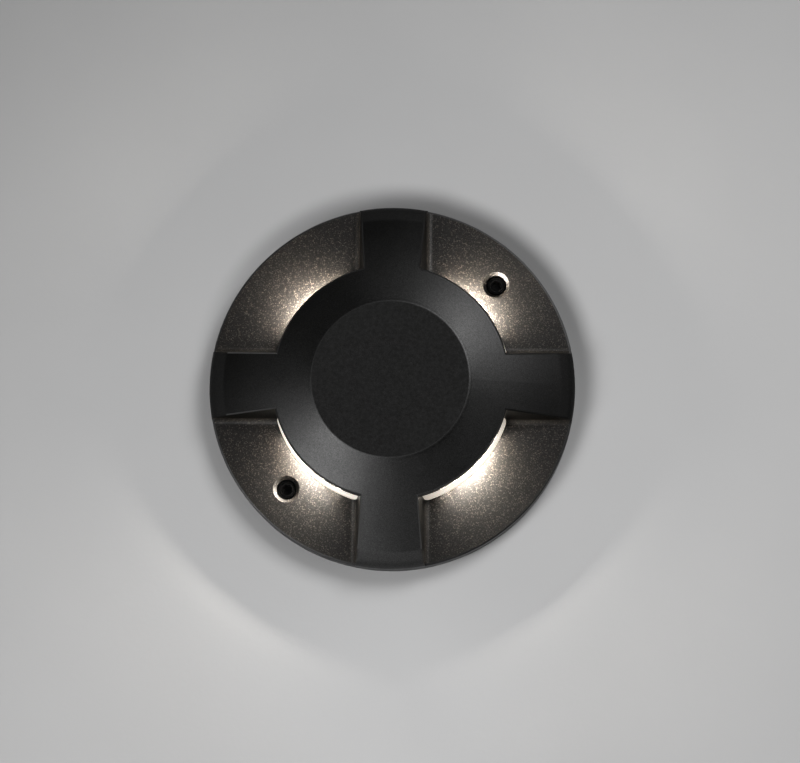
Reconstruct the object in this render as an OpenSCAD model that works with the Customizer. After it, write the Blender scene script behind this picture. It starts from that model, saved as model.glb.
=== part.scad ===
// Surface-mounted ground light: a cast cover with a round hub on four arms, and four windows
// under the hub that throw light over the pocket floors. Origin at the centre of the underside.

/* [Cover] */
// Outside diameter of the cover
cover_d = 170; // [168:1:182]
// Height of the flat crown above the ground
cover_h = 34; // [33:0.5:38]
// Diameter of the flat crown
crown_d = 74; // [70:1:78]
// Diameter of the hub above the windows
hub_d = 109; // [108:0.2:110]
// Fall of the cone and of the arms, in degrees
cone_slope = 22; // [20:0.5:23]
// Height of the pocket floors above the ground
floor_z = 11.3; // [11.3:0.1:12.5]
// Wall over the crown and under the cone
crown_wall = 4; // [3.5:0.1:4.5]
// Thickness of the pocket floors
floor_wall = 3; // [2.5:0.1:3.2]
// Thickness of the skirt
skirt_wall = 3.5; // [3:0.1:4]
// Gap between the skirt and the ground
skirt_gap = 0.8; // [0.5:0.1:1.5]
// Gap between the skirt and the mounting plate
plate_gap = 0.7; // [0.4:0.1:1]
// Radius between the crown and the cone
crown_round = 4; // [2:0.5:6]
// Radius that brings the arms down to the rim at their outer end
rim_round = 5.5; // [2:0.25:6]
// Radius at the outer edge of the pocket floors
floor_round = 1; // [0.6:0.1:2]

/* [Arms] */
// Width of an arm at its foot, without the fillets
arm_foot = 32; // [30:0.2:34]
// Draft of the arm walls, in degrees
arm_draft = 11; // [6:0.5:12]
// Fillet between an arm wall and the pocket floor
foot_fillet = 3; // [1.5:0.1:3.4]
// Depth of the bevel along the top edges of an arm
arm_bevel = 0.35; // [0.2:0.05:0.5]
// Wall of an arm beside its core
arm_wall = 3.5; // [3:0.1:4.5]
// Thickness of the ribs under the cover
rib = 2.5; // [2:0.1:3.5]

/* [Windows] */
// How far the pocket floors' inner edge lies outside the hub
window_step = 1.2; // [1:0.1:1.6]
// Height of the lip over a window
lip_h = 5; // [4.4:0.1:6]
// Thickness of the lip
lip_wall = 2; // [1.6:0.1:2.2]
// Bevel at the upper edge of the lip
lip_bevel = 0.8; // [0.4:0.1:1.2]
// Depth of the pocket behind the lip that holds the diffuser
lip_pocket = 3; // [2.6:0.1:3.2]

/* [Fixing screws] */
// Gap between the fixing screws' bosses and the back plate
fixing_gap = 1.6; // [1.2:0.1:2.6]
// Thread diameter
fixing_thread = 5; // [4:1:5]
// Head diameter
fixing_head_d = 8.5; // [8:0.1:9]
// Head height
fixing_head_h = 3.5; // [2.8:0.1:4]
// Width across the flats of the hexagon socket
fixing_socket = 4; // [3:0.5:4.5]
// Diameter of the counterbore
fixing_bore = 9.6; // [9.3:0.1:10.4]
// Chamfer at the mouth of the counterbore
fixing_chamfer = 1.4; // [0.8:0.1:1.6]
// Cover wall under a screw head
fixing_seat = 2.2; // [1.8:0.1:2.6]
// Wall round the counterbore
fixing_boss_wall = 2.2; // [1.8:0.1:2.4]

/* [Mounting plate] */
// Thickness of the plate
plate_t = 3; // [2.5:0.1:3.2]
// Opening for the supply cable
cable_opening = 44; // [40:1:60]
// Circle through the four anchor holes
anchor_pcd = 137; // [134:0.5:140]
// Diameter of an anchor hole
anchor_hole = 6.5; // [5:0.5:7]
// Angle of the first anchor hole, in degrees
anchor_angle = 22.5; // [20:0.5:24]

/* [Back plate] */
// Gap between the back plate and the mounting plate
back_gap = 0.5; // [0.3:0.1:0.8]
// Thickness of the back plate
back_t = 2.8; // [2.6:0.1:3]
// Gap between the bosses of the closing screws and the diffuser's foot
closing_gap = 0.4; // [0.3:0.1:0.8]
// Thread diameter of a closing screw
closing_thread = 4; // [3:0.5:4]
// Head diameter of a closing screw
closing_head_d = 8; // [7:0.1:8.4]
// Length of a closing screw
closing_length = 12; // [10:1:14]
// Radius of the bosses that take the closing screws
closing_boss_r = 4.5; // [4:0.1:4.7]
// Height of the pads under the driver board
pad_h = 1.2; // [1:0.1:1.4]
// Wall of the well round the cable gland
well_wall = 2; // [1.6:0.1:2.2]
// Inside radius of the well
well_r = 15; // [14:0.1:15.2]
// Thickness of the well's ceiling
well_roof = 2.4; // [2:0.1:3]

/* [Diffuser] */
// Wall of the diffuser
diffuser_wall = 2.5; // [2:0.1:2.7]
// Width of the diffuser's foot outside its wall
flange_w = 3.9; // [3.5:0.1:4]
// Width of the seal under the foot
lower_seal_w = 2.4; // [2:0.1:2.6]
// Height of the seal under the foot
lower_seal_h = 1.5; // [1:0.1:1.7]
// Height of the seal over the diffuser
upper_seal_h = 1; // [0.8:0.1:1.4]

/* [Lamp] */
// From the crown's edge in to the heat sink's rounded corners
sink_inset = 3; // [2.6:0.1:4]
// From the heat sink's corners in to its flats
sink_corner = 6; // [5.4:0.1:6.4]
// Gap between the heat sink and the well
sink_gap = 0.6; // [0.4:0.1:1]
// Height of the heat sink's underside above the back plate
sink_lift = 6.7; // [6.2:0.1:7]
// Thickness of the thermal pad
thermal_pad_t = 0.5; // [0.3:0.1:1]
// Height of an LED board
led_board_h = 13; // [12:0.5:14]
// Thickness of the LED boards
led_board_t = 1.6; // [1:0.1:2]
// Side of an LED package
led_side = 3; // [2.4:0.1:3.6]
// Spacing of the LED packages
led_pitch = 8; // [5:0.5:9]
// LED packages on a board
led_count = 3; // [1:1:3]
// Inside width of a reflector at the LEDs
reflector_w = 25.2; // [24:0.2:25.6]
// Wall of a reflector
reflector_wall = 1.2; // [0.8:0.1:1.3]
// Gap between a reflector and the diffuser
reflector_gap = 0.6; // [0.4:0.1:1]

/* [Driver] */
// Gap between the driver board and the diffuser
driver_edge = 5.7; // [5.2:0.1:6.4]
// Thickness of the driver board
driver_t = 1.6; // [1.2:0.1:1.8]
// Gap between the driver board and the well
driver_gap = 1; // [0.5:0.1:1.5]
// Gap between the heat sink and the driver's tall parts
component_gap = 2; // [1.6:0.1:2.2]
// Diameter of an insulated lead
lead_d = 1.4; // [1:0.1:1.6]

/* [Cable gland] */
// Thread diameter of the gland
gland_thread = 16; // [15:0.5:16]
// Width across the flats of the gland
gland_flats = 20; // [19:0.5:21]
// Height of the gland's hexagon
gland_hex_h = 4; // [3:0.1:4.5]
// Length of the gland nut
gland_nut_h = 10; // [9:0.1:10.5]
// Cable passage through the gland
gland_bore = 8.4; // [7:0.1:9]
// Thickness of the flat seal under the hexagon
gland_gasket_t = 1; // [0.8:0.1:1.5]
// Height of the locknut
locknut_h = 3; // [2.5:0.1:3.5]

/* [Hidden] */
$fn = 96;

// Clearances: beside a moulded part, beside a machined part, beside a thread
loose = 0.3;
close = 0.15;
thread_gap = 0.05;
// How far a cutting shape runs past the surface it cuts
past = 1;
// Steps in the arc of a rounded corner
arc_steps = 6;
// The arms point along the axes and the windows lie between them
arms = [0, 90, 180, 270];
pockets = [45, 135, 225, 315];
fixings = [45, 225];
blank_bosses = [135, 315];

// Cover radii and heights
cover_r = cover_d / 2;
crown_r = crown_d / 2;
hub_r = hub_d / 2;
window_r = hub_r + window_step;
skirt_r = cover_r - skirt_wall;
hub_edge_z = cone_z(hub_r);
lip_z = hub_edge_z - lip_h;
lip_r = hub_r - lip_wall;
seat_z = lip_z + lip_pocket;
roof_z = cover_h - crown_wall;
cone_wall = crown_wall / cos(cone_slope);
floor_under = floor_z - floor_wall;
window_h = lip_z - floor_z;

// Back plate and what closes it
back_z = plate_t + back_gap;
back_top = back_z + back_t;
ear_wall = 1.5;
ear_r = closing_boss_r + ear_wall;
countersink_h = (closing_head_d - closing_thread) / 2;

// Diffuser: a foot, a straight stretch, a slanted wall and a straight rim
diffuser_foot_r = window_r - loose;
diffuser_in_r = diffuser_foot_r - diffuser_wall;
diffuser_rim_r = lip_r - loose;
diffuser_top = seat_z - upper_seal_h;
flange_r = window_r + flange_w - loose;
back_r = flange_r + loose;
lower_seal_r = window_r + flange_w / 2 - loose;
closing_r = flange_r + closing_gap + closing_boss_r;
diffuser_lean = (diffuser_foot_r - diffuser_rim_r) / window_h;

// Fixing screws
fixing_seat_z = plate_t + fixing_seat;
fixing_boss_r = fixing_bore / 2 + fixing_boss_wall;
fixing_r = back_r + fixing_gap + fixing_boss_r;

// Cable gland, stacked up from the mounting plate
gland_z = plate_t + back_gap;
gland_hex_z = gland_z + gland_nut_h;
gland_gasket_z = gland_hex_z + gland_hex_h;
well_ceiling = gland_gasket_z + gland_gasket_t;
well_top = well_ceiling + well_roof;
well_outer_r = well_r + well_wall;
locknut_top = well_top + locknut_h;
gland_corner = gland_flats / cos(30);

// Screws of the lamp and the driver: thread, head, height of a tall and of a low head
small_thread = 3;
small_head_d = 5.5;
small_head_h = 3;
small_low_head_h = 1.8;
small_socket = 2.5;
// Screws of the LED boards
board_thread = 2.5;
board_head_d = 4.2;
board_head_h = 1.6;
board_socket = 1.5;
board_bite = 4.5;
// Material left under a blind hole in the back plate
blind_floor = 0.7;

// Lamp
sink_z = back_top + sink_lift;
sink_top = roof_z - thermal_pad_t;
sink_bore_r = well_outer_r + sink_gap;
sink_r = crown_r - sink_inset;
sink_face = sink_r - sink_corner;
sink_seat = 6;
led_face = sink_face + led_board_t;
led_z = (floor_z + lip_z) / 2;
led_board_z = sink_z + loose;
led_board_w = 2 * (sqrt(sink_r * sink_r - sink_face * sink_face) - loose);
led_package_h = 0.7;
post_r = (sink_bore_r + sink_r) / 2;
post_d = 8;
board_screw_edge = 2.3;
board_screw_x = led_board_w / 2 - board_screw_edge;
board_screw_z = led_board_z + led_board_h / 2;
reflector_floor = floor_z - reflector_wall;
reflector_roof = lip_z + loose;
neck_l = 5.4;
reflector_neck = led_face + neck_l;
reflector_foot_r = 1.5;

// Driver board, its screws and the earth point
driver_z = back_top + pad_h;
driver_top = driver_z + driver_t;
driver_bore_r = well_outer_r + driver_gap;
driver_r = diffuser_in_r - driver_edge;
pad_r = 3;
pad_inset = 6.5;
driver_screw_inset = 5;
driver_screw_r = driver_bore_r + driver_screw_inset;
earth_pad_r = 3.2;
earth_gap = 0.6;
earth_washer_t = 0.6;
earth_r = diffuser_in_r - earth_gap - earth_pad_r;
earth_angle = 286;

// Leads to the LED boards
lead_reach = 3.4;
lead_rise = 2;
lead_bend = 2;
lead_edge = 1.4;
lead_pitch = 2.2;
lead_foot = led_face + lead_reach;
lead_z = led_board_z + lead_rise;

// Driver parts: low ones round the well, tall ones outside the heat sink's corners
part_gap = 0.5;
component_in_r = sink_r + component_gap;
chip_inset = 9;
chip_w = 4;
chip_l = 5;
chip_h = 1.6;
core_w = 15;
core_t = 6;
core_h = 11;
core_leg = 4.2;
core_window = 3.2;
core_yoke = 2;
winding_t = 1.6;
winding_round = 2;
winding_x = core_t / 2 + close + winding_t;
transformer_r = component_in_r + winding_x;
storage_d = 8;
storage_h = 12;
storage_round = 0.6;
storage_groove = 0.4;
choke_d = 8;
choke_h = 8;
choke_flange = 1.5;
film_depth = 8;
film_w = 6;
film_h = 10;
varistor_d = 9;
varistor_t = 4;
varistor_lead_d = 0.8;
fuse_d = 7.6;
fuse_h = 7.6;
terminal_w = 15;
terminal_depth = 8;
terminal_h = 10;
terminal_pitch = 5;
terminal_way = 3;
terminal_screw_d = 3.4;
terminal_screw_h = 2.6;
terminal_z = 5.5;
terminal_slot = 0.6;

// Walls and steps of the gland
gland_wall = 2.5;
gland_step = 1;
gland_bite = 6;
gland_cone = 3;
gland_seal_lift = 2;

// Height of the cone and of the arm tops at radius r
function cone_z(r) = cover_h - (r - crown_r) * tan(cone_slope);

// Half the width of an arm at height z
function arm_half(z) = arm_foot / 2 - (z - floor_z) * tan(arm_draft);

function unit(v) = v / norm(v);

// Arc of radius r that rounds the corner p between the neighbours a and b
function corner_arc(a, p, b, r) =
    let (
        u = unit(a - p),
        w = unit(b - p),
        half = acos(u * w) / 2,
        centre = p + unit(u + w) * r / sin(half),
        from = p + u * r / tan(half) - centre,
        to = p + w * r / tan(half) - centre,
        start = atan2(from.y, from.x),
        sweep = (atan2(to.y, to.x) - start + 540) % 360 - 180
    )
    [for (i = [0:arc_steps])
        let (angle = start + sweep * i / arc_steps)
        centre + r * [cos(angle), sin(angle)]];

// Outline from [x, y] and [x, y, radius] points
function rounded(points) =
    let (count = len(points))
    [for (i = [0:count - 1])
        let (
            here = points[i],
            p = [here.x, here.y],
            before = points[(i + count - 1) % count],
            after = points[(i + 1) % count]
        )
        each len(here) < 3 ? [p]
            : corner_arc([before.x, before.y], p, [after.x, after.y], here.z)];

// Children repeated at radius r on each of the angles
module around(r, angles) {
    for (angle = angles)
        rotate(angle)
            translate([r, 0, 0])
                children();
}

module ring(r_in, r_out, z0, z1) {
    translate([0, 0, z0])
        difference() {
            cylinder(r = r_out, h = z1 - z0);
            translate([0, 0, -past])
                cylinder(r = r_in, h = z1 - z0 + 2 * past);
        }
}

// Box centred on X and Y that stands on z0
module block(x, y, z0, z1) {
    translate([-x / 2, -y / 2, z0])
        cube([x, y, z1 - z0]);
}

// Plain round hole of radius r from z0 to z1
module hole(r, z0, z1) {
    translate([0, 0, z0])
        cylinder(r = r, h = z1 - z0);
}

// Screw that hangs from its bearing face at z = 0, with a bevelled head and a hexagon socket
module cap_screw(thread, head_d, head_h, length, socket) {
    bevel = head_h / 8;
    difference() {
        rotate_extrude()
            polygon([
                [0, -length],
                [thread / 2 - thread_gap - bevel, -length],
                [thread / 2 - thread_gap, bevel - length],
                [thread / 2 - thread_gap, 0],
                [head_d / 2, 0],
                [head_d / 2, head_h - bevel],
                [head_d / 2 - bevel, head_h],
                [0, head_h],
            ]);
        translate([0, 0, head_h * 0.4])
            cylinder(d = socket / cos(30), h = head_h, $fn = 6);
    }
}

// Body of revolution that the crown, the cone and the arm tops follow, lowered or drawn in
module cover_envelope(drop = 0, inset = 0) {
    rotate_extrude()
        polygon(rounded([
            [0, -past],
            [cover_r - inset, -past],
            [cover_r - inset, cone_z(cover_r) - drop, rim_round],
            [crown_r, cover_h - drop, crown_round],
            [0, cover_h - drop],
        ]));
}

// Pocket floors and skirt as one turned disc
module cover_disc() {
    rotate_extrude()
        polygon(rounded([
            [0, skirt_gap],
            [cover_r - skirt_gap / 2, skirt_gap],
            [cover_r, skirt_gap * 1.5],
            [cover_r, floor_z, floor_round],
            [0, floor_z],
        ]));
}

// Hub with its lip, bevelled where the lip meets the cone
module hub_blank() {
    bevel_r = hub_r - lip_bevel;
    bevel_rise = cone_z(bevel_r) - hub_edge_z + lip_bevel;
    climb = cover_h - hub_edge_z + lip_bevel + past;
    rotate_extrude()
        polygon([
            [0, lip_z],
            [hub_r, lip_z],
            [hub_r, hub_edge_z - lip_bevel],
            [hub_r - climb * lip_bevel / bevel_rise, hub_edge_z - lip_bevel + climb],
            [0, hub_edge_z - lip_bevel + climb],
        ]);
}

// Two crossing arms with drafted walls; fillet = 0 leaves the feet square
module arm_prisms(fillet) {
    top = cover_h + past;
    reach = fillet * tan((90 - arm_draft) / 2);
    foot = arm_foot / 2;
    outline = fillet == 0
        ? [[-foot, skirt_gap], [foot, skirt_gap], [foot, floor_z], [arm_half(top), top],
           [-arm_half(top), top], [-foot, floor_z]]
        : rounded([
            [-foot - reach - past, floor_under],
            [foot + reach + past, floor_under],
            [foot + reach + past, floor_z],
            [foot, floor_z, fillet],
            [arm_half(top), top],
            [-arm_half(top), top],
            [-foot, floor_z, fillet],
            [-foot - reach - past, floor_z],
        ]);
    for (angle = [0, 90])
        rotate([90, 0, angle + 90])
            linear_extrude(height = cover_d, center = true)
                polygon(outline);
}

// Flat cut along one top edge of the arm that points to +X
module arm_edge_cut() {
    near_y = arm_half(hub_edge_z);
    far_y = arm_half(cone_z(cover_r));
    near = [sqrt(hub_r * hub_r - near_y * near_y), near_y, hub_edge_z];
    far = [sqrt(cover_r * cover_r - far_y * far_y), far_y, cone_z(cover_r)];
    way = unit(far - near);
    length = norm(far - near) + 10;
    translate(near - 5 * way)
        rotate([0, asin(-way.z), atan2(way.y, way.x)])
            rotate([-(90 - arm_draft) / 2, 0, 0])
                translate([0, -5, -arm_bevel])
                    cube([length, 10, 5]);
}

module cover_outside() {
    cover_disc();
    intersection() {
        cover_envelope();
        union() {
            hub_blank();
            difference() {
                union() {
                    arm_prisms(0);
                    intersection() {
                        cover_envelope(inset = floor_round);
                        arm_prisms(foot_fillet);
                    }
                }
                for (angle = arms)
                    rotate(angle) {
                        arm_edge_cut();
                        mirror([0, 1, 0])
                            arm_edge_cut();
                    }
            }
        }
    }
}

// Bosses and ribs, of which only what lies in the cover's hollow counts
module cover_stiffening() {
    around(fixing_r, fixings)
        hole(fixing_boss_r, plate_t, cover_h);
    around(fixing_r, blank_bosses)
        hole(fixing_bore / 2, plate_t, cover_h);
    around((fixing_r + skirt_r) / 2, pockets)
        block(skirt_r - fixing_r + past, rib, fixing_seat_z, cover_h);
    around(closing_r, arms)
        hole(closing_boss_r, back_top, cover_h);
    around((closing_r + skirt_r) / 2, arms)
        block(skirt_r - closing_r + past, rib, floor_under, cover_h);
    around((closing_r + ear_r + loose + skirt_r + past) / 2, arms)
        block(skirt_r - closing_r - ear_r - loose + past, rib, plate_t, cover_h);
}

// Space under the pocket floors and inside the arms
module cover_hollow() {
    inner = arm_foot / 2 - arm_wall;
    top = cover_h;
    slant = (top - floor_z) * tan(arm_draft);
    hole(skirt_r, -past, floor_under);
    intersection() {
        cover_envelope(cone_wall);
        ring(closing_r - closing_boss_r, skirt_r, -past, cover_h);
        for (angle = [0, 90])
            rotate([90, 0, angle + 90])
                linear_extrude(height = cover_d, center = true)
                    polygon([
                        [-inner, 0],
                        [inner, 0],
                        [inner, floor_z],
                        [inner - slant, top],
                        [slant - inner, top],
                        [-inner, floor_z],
                    ]);
    }
}

// Room for the lamp: straight at the foot, slanted with the diffuser, then the pocket for its rim
module cover_chamber() {
    inner_crown_r = crown_r - (cone_wall - crown_wall) / tan(cone_slope);
    seat_r = crown_r + (cover_h - cone_wall - seat_z) / tan(cone_slope);
    rotate_extrude()
        polygon([
            [0, -past],
            [window_r, -past],
            [window_r, floor_z],
            [lip_r, lip_z],
            [lip_r, seat_z],
            [seat_r, seat_z],
            [inner_crown_r, roof_z],
            [0, roof_z],
        ]);
}

module top_cover() {
    color([0.14, 0.14, 0.14])
        difference() {
            cover_outside();
            difference() {
                cover_hollow();
                cover_stiffening();
            }
            cover_chamber();
            around(fixing_r, fixings) {
                hole(fixing_thread / 2 + close, 0, floor_z);
                hole(fixing_bore / 2, fixing_seat_z, floor_z + past);
                translate([0, 0, floor_z - fixing_chamfer])
                    cylinder(
                        r1 = fixing_bore / 2,
                        r2 = fixing_bore / 2 + fixing_chamfer + past,
                        h = fixing_chamfer + past
                    );
            }
            around(closing_r, arms)
                hole(closing_thread / 2 + thread_gap, 0, back_z + closing_length + past);
        }
}

module mounting_plate() {
    color([0.62, 0.62, 0.6])
        difference() {
            hole(skirt_r - plate_gap, 0, plate_t);
            hole(cable_opening / 2, -past, plate_t + past);
            around(fixing_r, fixings)
                hole(fixing_thread / 2 + thread_gap, -past, plate_t + past);
            around(anchor_pcd / 2, [for (angle = arms) angle + anchor_angle])
                hole(anchor_hole / 2, -past, plate_t + past);
        }
}

module fixing_screws() {
    color([0.2, 0.2, 0.19])
        around(fixing_r, fixings)
            translate([0, 0, fixing_seat_z])
                cap_screw(fixing_thread, fixing_head_d, fixing_head_h,
                    fixing_seat_z - loose, fixing_socket);
}

module back_plate() {
    color([0.55, 0.56, 0.57])
        difference() {
            union() {
                hole(back_r, back_z, back_top);
                around(closing_r, arms)
                    hole(ear_r, back_z, back_top);
                around(closing_r - ear_r, arms)
                    block(2 * ear_r, 2 * ear_r, back_z, back_top);
                hole(well_outer_r, back_z, well_top);
                around(post_r, arms)
                    hole(post_d / 2, back_z, sink_z);
                around(driver_screw_r, pockets)
                    hole(pad_r, back_z, driver_z);
                around(driver_r - pad_inset, pockets)
                    hole(pad_r, back_z, driver_z);
                around(earth_r, [earth_angle])
                    hole(earth_pad_r, back_z, driver_z);
            }
            hole(well_r, 0, well_ceiling);
            hole(gland_thread / 2 + close, 0, well_top + past);
            ring(
                lower_seal_r - lower_seal_w / 2 - close,
                lower_seal_r + lower_seal_w / 2 + close,
                back_top - lower_seal_h,
                back_top + past
            );
            around(post_r, arms)
                hole(small_thread / 2 + thread_gap, back_z + blind_floor, sink_z + past);
            around(driver_screw_r, pockets)
                hole(small_thread / 2 + thread_gap, back_z + blind_floor, driver_z + past);
            around(earth_r, [earth_angle])
                hole(small_thread / 2 + thread_gap, back_z + blind_floor, driver_z + past);
            around(closing_r, arms) {
                hole(closing_thread / 2 + close, 0, back_top + past);
                translate([0, 0, back_z])
                    cylinder(
                        r1 = closing_head_d / 2 + close,
                        r2 = closing_thread / 2 + close,
                        h = countersink_h
                    );
            }
        }
}

module closing_screws() {
    color([0.72, 0.72, 0.7])
        around(closing_r, arms)
            translate([0, 0, back_z])
                difference() {
                    union() {
                        cylinder(
                            r1 = closing_head_d / 2,
                            r2 = closing_thread / 2 - thread_gap,
                            h = countersink_h
                        );
                        cylinder(r = closing_thread / 2 - thread_gap, h = closing_length);
                    }
                    translate([0, 0, -past])
                        cylinder(
                            d = closing_thread * 0.6 / cos(30),
                            h = past + closing_thread * 0.3,
                            $fn = 6
                        );
                }
}

module lower_seal() {
    color([0.1, 0.1, 0.1])
        ring(
            lower_seal_r - lower_seal_w / 2,
            lower_seal_r + lower_seal_w / 2,
            back_top - lower_seal_h,
            back_top
        );
}

module diffuser() {
    color([0.96, 0.94, 0.88])
        rotate_extrude()
            polygon([
                [diffuser_in_r, back_top],
                [flange_r, back_top],
                [flange_r, floor_under],
                [diffuser_foot_r, floor_under],
                [diffuser_foot_r, floor_z],
                [diffuser_rim_r, lip_z],
                [diffuser_rim_r, diffuser_top],
                [diffuser_rim_r - diffuser_wall, diffuser_top],
                [diffuser_rim_r - diffuser_wall, lip_z],
                [diffuser_in_r, floor_z],
            ]);
}

module upper_seal() {
    color([0.1, 0.1, 0.1])
        ring(diffuser_rim_r - diffuser_wall, diffuser_rim_r, diffuser_top, seat_z);
}

module heat_sink() {
    color([0.76, 0.77, 0.79])
        difference() {
            intersection() {
                rotate(45)
                    block(2 * sink_face, 2 * sink_face, sink_z, sink_top);
                hole(sink_r, sink_z, sink_top);
            }
            hole(sink_bore_r, sink_z - past, sink_top + past);
            around(post_r, arms) {
                hole(small_thread / 2 + close, sink_z - past, sink_top + past);
                hole(small_head_d / 2 + loose, sink_z + sink_seat, sink_top + past);
            }
            for (angle = pockets, side = [-1, 1])
                rotate(angle)
                    translate([sink_face - board_bite - loose, side * board_screw_x, board_screw_z])
                        rotate([0, 90, 0])
                            cylinder(d = board_thread + 2 * thread_gap, h = board_bite + loose + past);
        }
}

module heat_sink_screws() {
    color([0.72, 0.72, 0.7])
        around(post_r, arms)
            translate([0, 0, sink_z + sink_seat])
                cap_screw(small_thread, small_head_d, small_head_h,
                    sink_seat + 2 * small_thread, small_socket);
}

module thermal_pad() {
    color([0.55, 0.62, 0.7])
        ring(sink_bore_r + loose, sink_face - loose, sink_top, roof_z);
}

// LED board on one flat of the heat sink
module led_board(index) {
    color([0.92, 0.92, 0.9])
        rotate(pockets[index - 1])
            difference() {
                translate([sink_face, -led_board_w / 2, led_board_z])
                    cube([led_board_t, led_board_w, led_board_h]);
                for (side = [-1, 1])
                    translate([sink_face - past, side * board_screw_x, board_screw_z])
                        rotate([0, 90, 0])
                            cylinder(d = board_thread + 2 * close, h = led_board_t + 2 * past);
            }
}

module led_packages() {
    color([0.98, 0.86, 0.45])
        for (angle = pockets, i = [0:led_count - 1])
            rotate(angle)
                translate([
                    led_face,
                    (i - (led_count - 1) / 2) * led_pitch - led_side / 2,
                    led_z - led_side / 2,
                ])
                    cube([led_package_h, led_side, led_side]);
}

module led_board_screws() {
    color([0.72, 0.72, 0.7])
        for (angle = pockets, side = [-1, 1])
            rotate(angle)
                translate([led_face, side * board_screw_x, board_screw_z])
                    rotate([0, 90, 0])
                        cap_screw(board_thread, board_head_d, board_head_h,
                            led_board_t + board_bite, board_socket);
}

// White scoop from an LED board to the diffuser, open at both ends, on two feet
module reflector(index) {
    neck = reflector_w / 2;
    end_r = diffuser_in_r - reflector_gap;
    window_half = 45 - asin((arm_foot / 2 + foot_fillet) / window_r);
    mouth = end_r * sin(window_half);
    mouth_u = end_r * cos(window_half);
    top = reflector_roof + reflector_wall;
    color([0.95, 0.95, 0.94])
        rotate(pockets[index - 1]) {
            intersection() {
                difference() {
                    translate([0, 0, reflector_floor])
                        linear_extrude(height = top - reflector_floor)
                            polygon(scoop_outline(neck + reflector_wall,
                                mouth + reflector_wall, mouth_u, 0));
                    translate([0, 0, floor_z])
                        linear_extrude(height = window_h + loose)
                            polygon(scoop_outline(neck, mouth, mouth_u, past));
                }
                translate([0, 0, reflector_floor])
                    cylinder(
                        r1 = end_r + diffuser_lean * reflector_wall,
                        r2 = end_r - diffuser_lean * (top - floor_z),
                        h = top - reflector_floor
                    );
            }
            for (side = [-1, 1])
                translate([reflector_neck, side * neck * 0.7, 0])
                    hole(reflector_foot_r, driver_top, reflector_floor);
        }
}

// Plan of a scoop: a straight neck, then flared to the mouth and run on past it
function scoop_outline(neck, mouth, mouth_u, back) = [
    [led_face - back, -neck],
    [reflector_neck, -neck],
    [mouth_u, -mouth],
    [window_r, -mouth],
    [window_r, mouth],
    [mouth_u, mouth],
    [reflector_neck, neck],
    [led_face - back, neck],
];

module driver_board() {
    color([0.12, 0.36, 0.2])
        difference() {
            ring(driver_bore_r, driver_r, driver_z, driver_top);
            around(post_r, arms)
                hole(post_d / 2 + loose, 0, driver_top + past);
            around(driver_screw_r, pockets)
                hole(small_thread / 2 + close, 0, driver_top + past);
            around(earth_r, [earth_angle])
                hole(earth_pad_r + 2 * earth_gap, 0, driver_top + past);
        }
}

module driver_screws() {
    color([0.72, 0.72, 0.7])
        around(driver_screw_r, pockets)
            translate([0, 0, driver_top])
                cap_screw(small_thread, small_head_d, small_low_head_h,
                    driver_t + pad_h + small_thread / 2, small_socket);
}

// Rectifier, controller and two small parts, low enough to lie under the heat sink
module driver_chips() {
    color([0.08, 0.08, 0.09])
        for (i = [0:3])
            rotate(arms[i] + 22.5)
                translate([driver_bore_r + chip_inset, 0, 0])
                    block(
                        i % 2 == 0 ? chip_w : chip_l,
                        i % 2 == 0 ? chip_l : chip_w,
                        driver_top,
                        driver_top + chip_h
                    );
}

// Transformer on the arm that points to +X, its winding next to the heat sink
module transformer_core() {
    color([0.16, 0.16, 0.17])
        translate([transformer_r, 0, 0])
            difference() {
                block(core_t, core_w, driver_top, driver_top + core_h);
                for (side = [-1, 1])
                    translate([0, side * (core_leg + core_window) / 2, 0])
                        block(core_t + past, core_window,
                            driver_top + core_yoke, driver_top + core_h - core_yoke);
            }
}

module transformer_winding() {
    x = winding_x;
    y = core_leg / 2 + core_window - close;
    height = core_h - 2 * core_yoke - 2 * close;
    color([0.85, 0.68, 0.2])
        translate([transformer_r, 0, driver_top + core_yoke + close])
            difference() {
                linear_extrude(height = height)
                    polygon(rounded([
                        [-x, -y, winding_round],
                        [x, -y, winding_round],
                        [x, y, winding_round],
                        [-x, y, winding_round],
                    ]));
                block(core_t + 2 * close, core_leg + 2 * close, -past, height + past);
            }
}

module storage_capacitor() {
    r = storage_d / 2;
    g = storage_groove;
    color([0.15, 0.17, 0.3])
        translate([-r - part_gap, component_in_r + r, driver_top])
            rotate_extrude()
                polygon(rounded([
                    [0, 0],
                    [r, 0, storage_round],
                    [r, 4 * g],
                    [r - g, 5 * g],
                    [r, 6 * g],
                    [r, storage_h, storage_round],
                    [0, storage_h],
                ]));
}

module choke() {
    r = choke_d / 2;
    color([0.2, 0.2, 0.21])
        translate([r + part_gap, component_in_r + r, driver_top])
            rotate_extrude()
                polygon([
                    [0, 0],
                    [r, 0],
                    [r, choke_flange],
                    [0.75 * r, choke_flange],
                    [0.75 * r, choke_h - choke_flange],
                    [r, choke_h - choke_flange],
                    [r, choke_h],
                    [0, choke_h],
                ]);
}

module film_capacitor() {
    color([0.75, 0.16, 0.12])
        translate([-component_in_r - film_depth / 2, (varistor_t + film_w) / 2 + part_gap, 0])
            block(film_depth, film_w, driver_top, driver_top + film_h);
}

module varistor() {
    r = varistor_d / 2;
    color([0.12, 0.3, 0.62])
        translate([-component_in_r - r, 0, driver_top]) {
            translate([0, varistor_t / 2, 1.2 * r])
                rotate([90, 0, 0])
                    cylinder(r = r, h = varistor_t);
            for (side = [-1, 1])
                translate([side * 0.55 * r, 0, 0])
                    hole(varistor_lead_d / 2, 0, 0.7 * r);
        }
}

module fuse() {
    r = fuse_d / 2;
    color([0.2, 0.18, 0.15])
        translate([-component_in_r - r, -varistor_t / 2 - part_gap - r, driver_top])
            cylinder(r = r, h = fuse_h);
}

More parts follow.
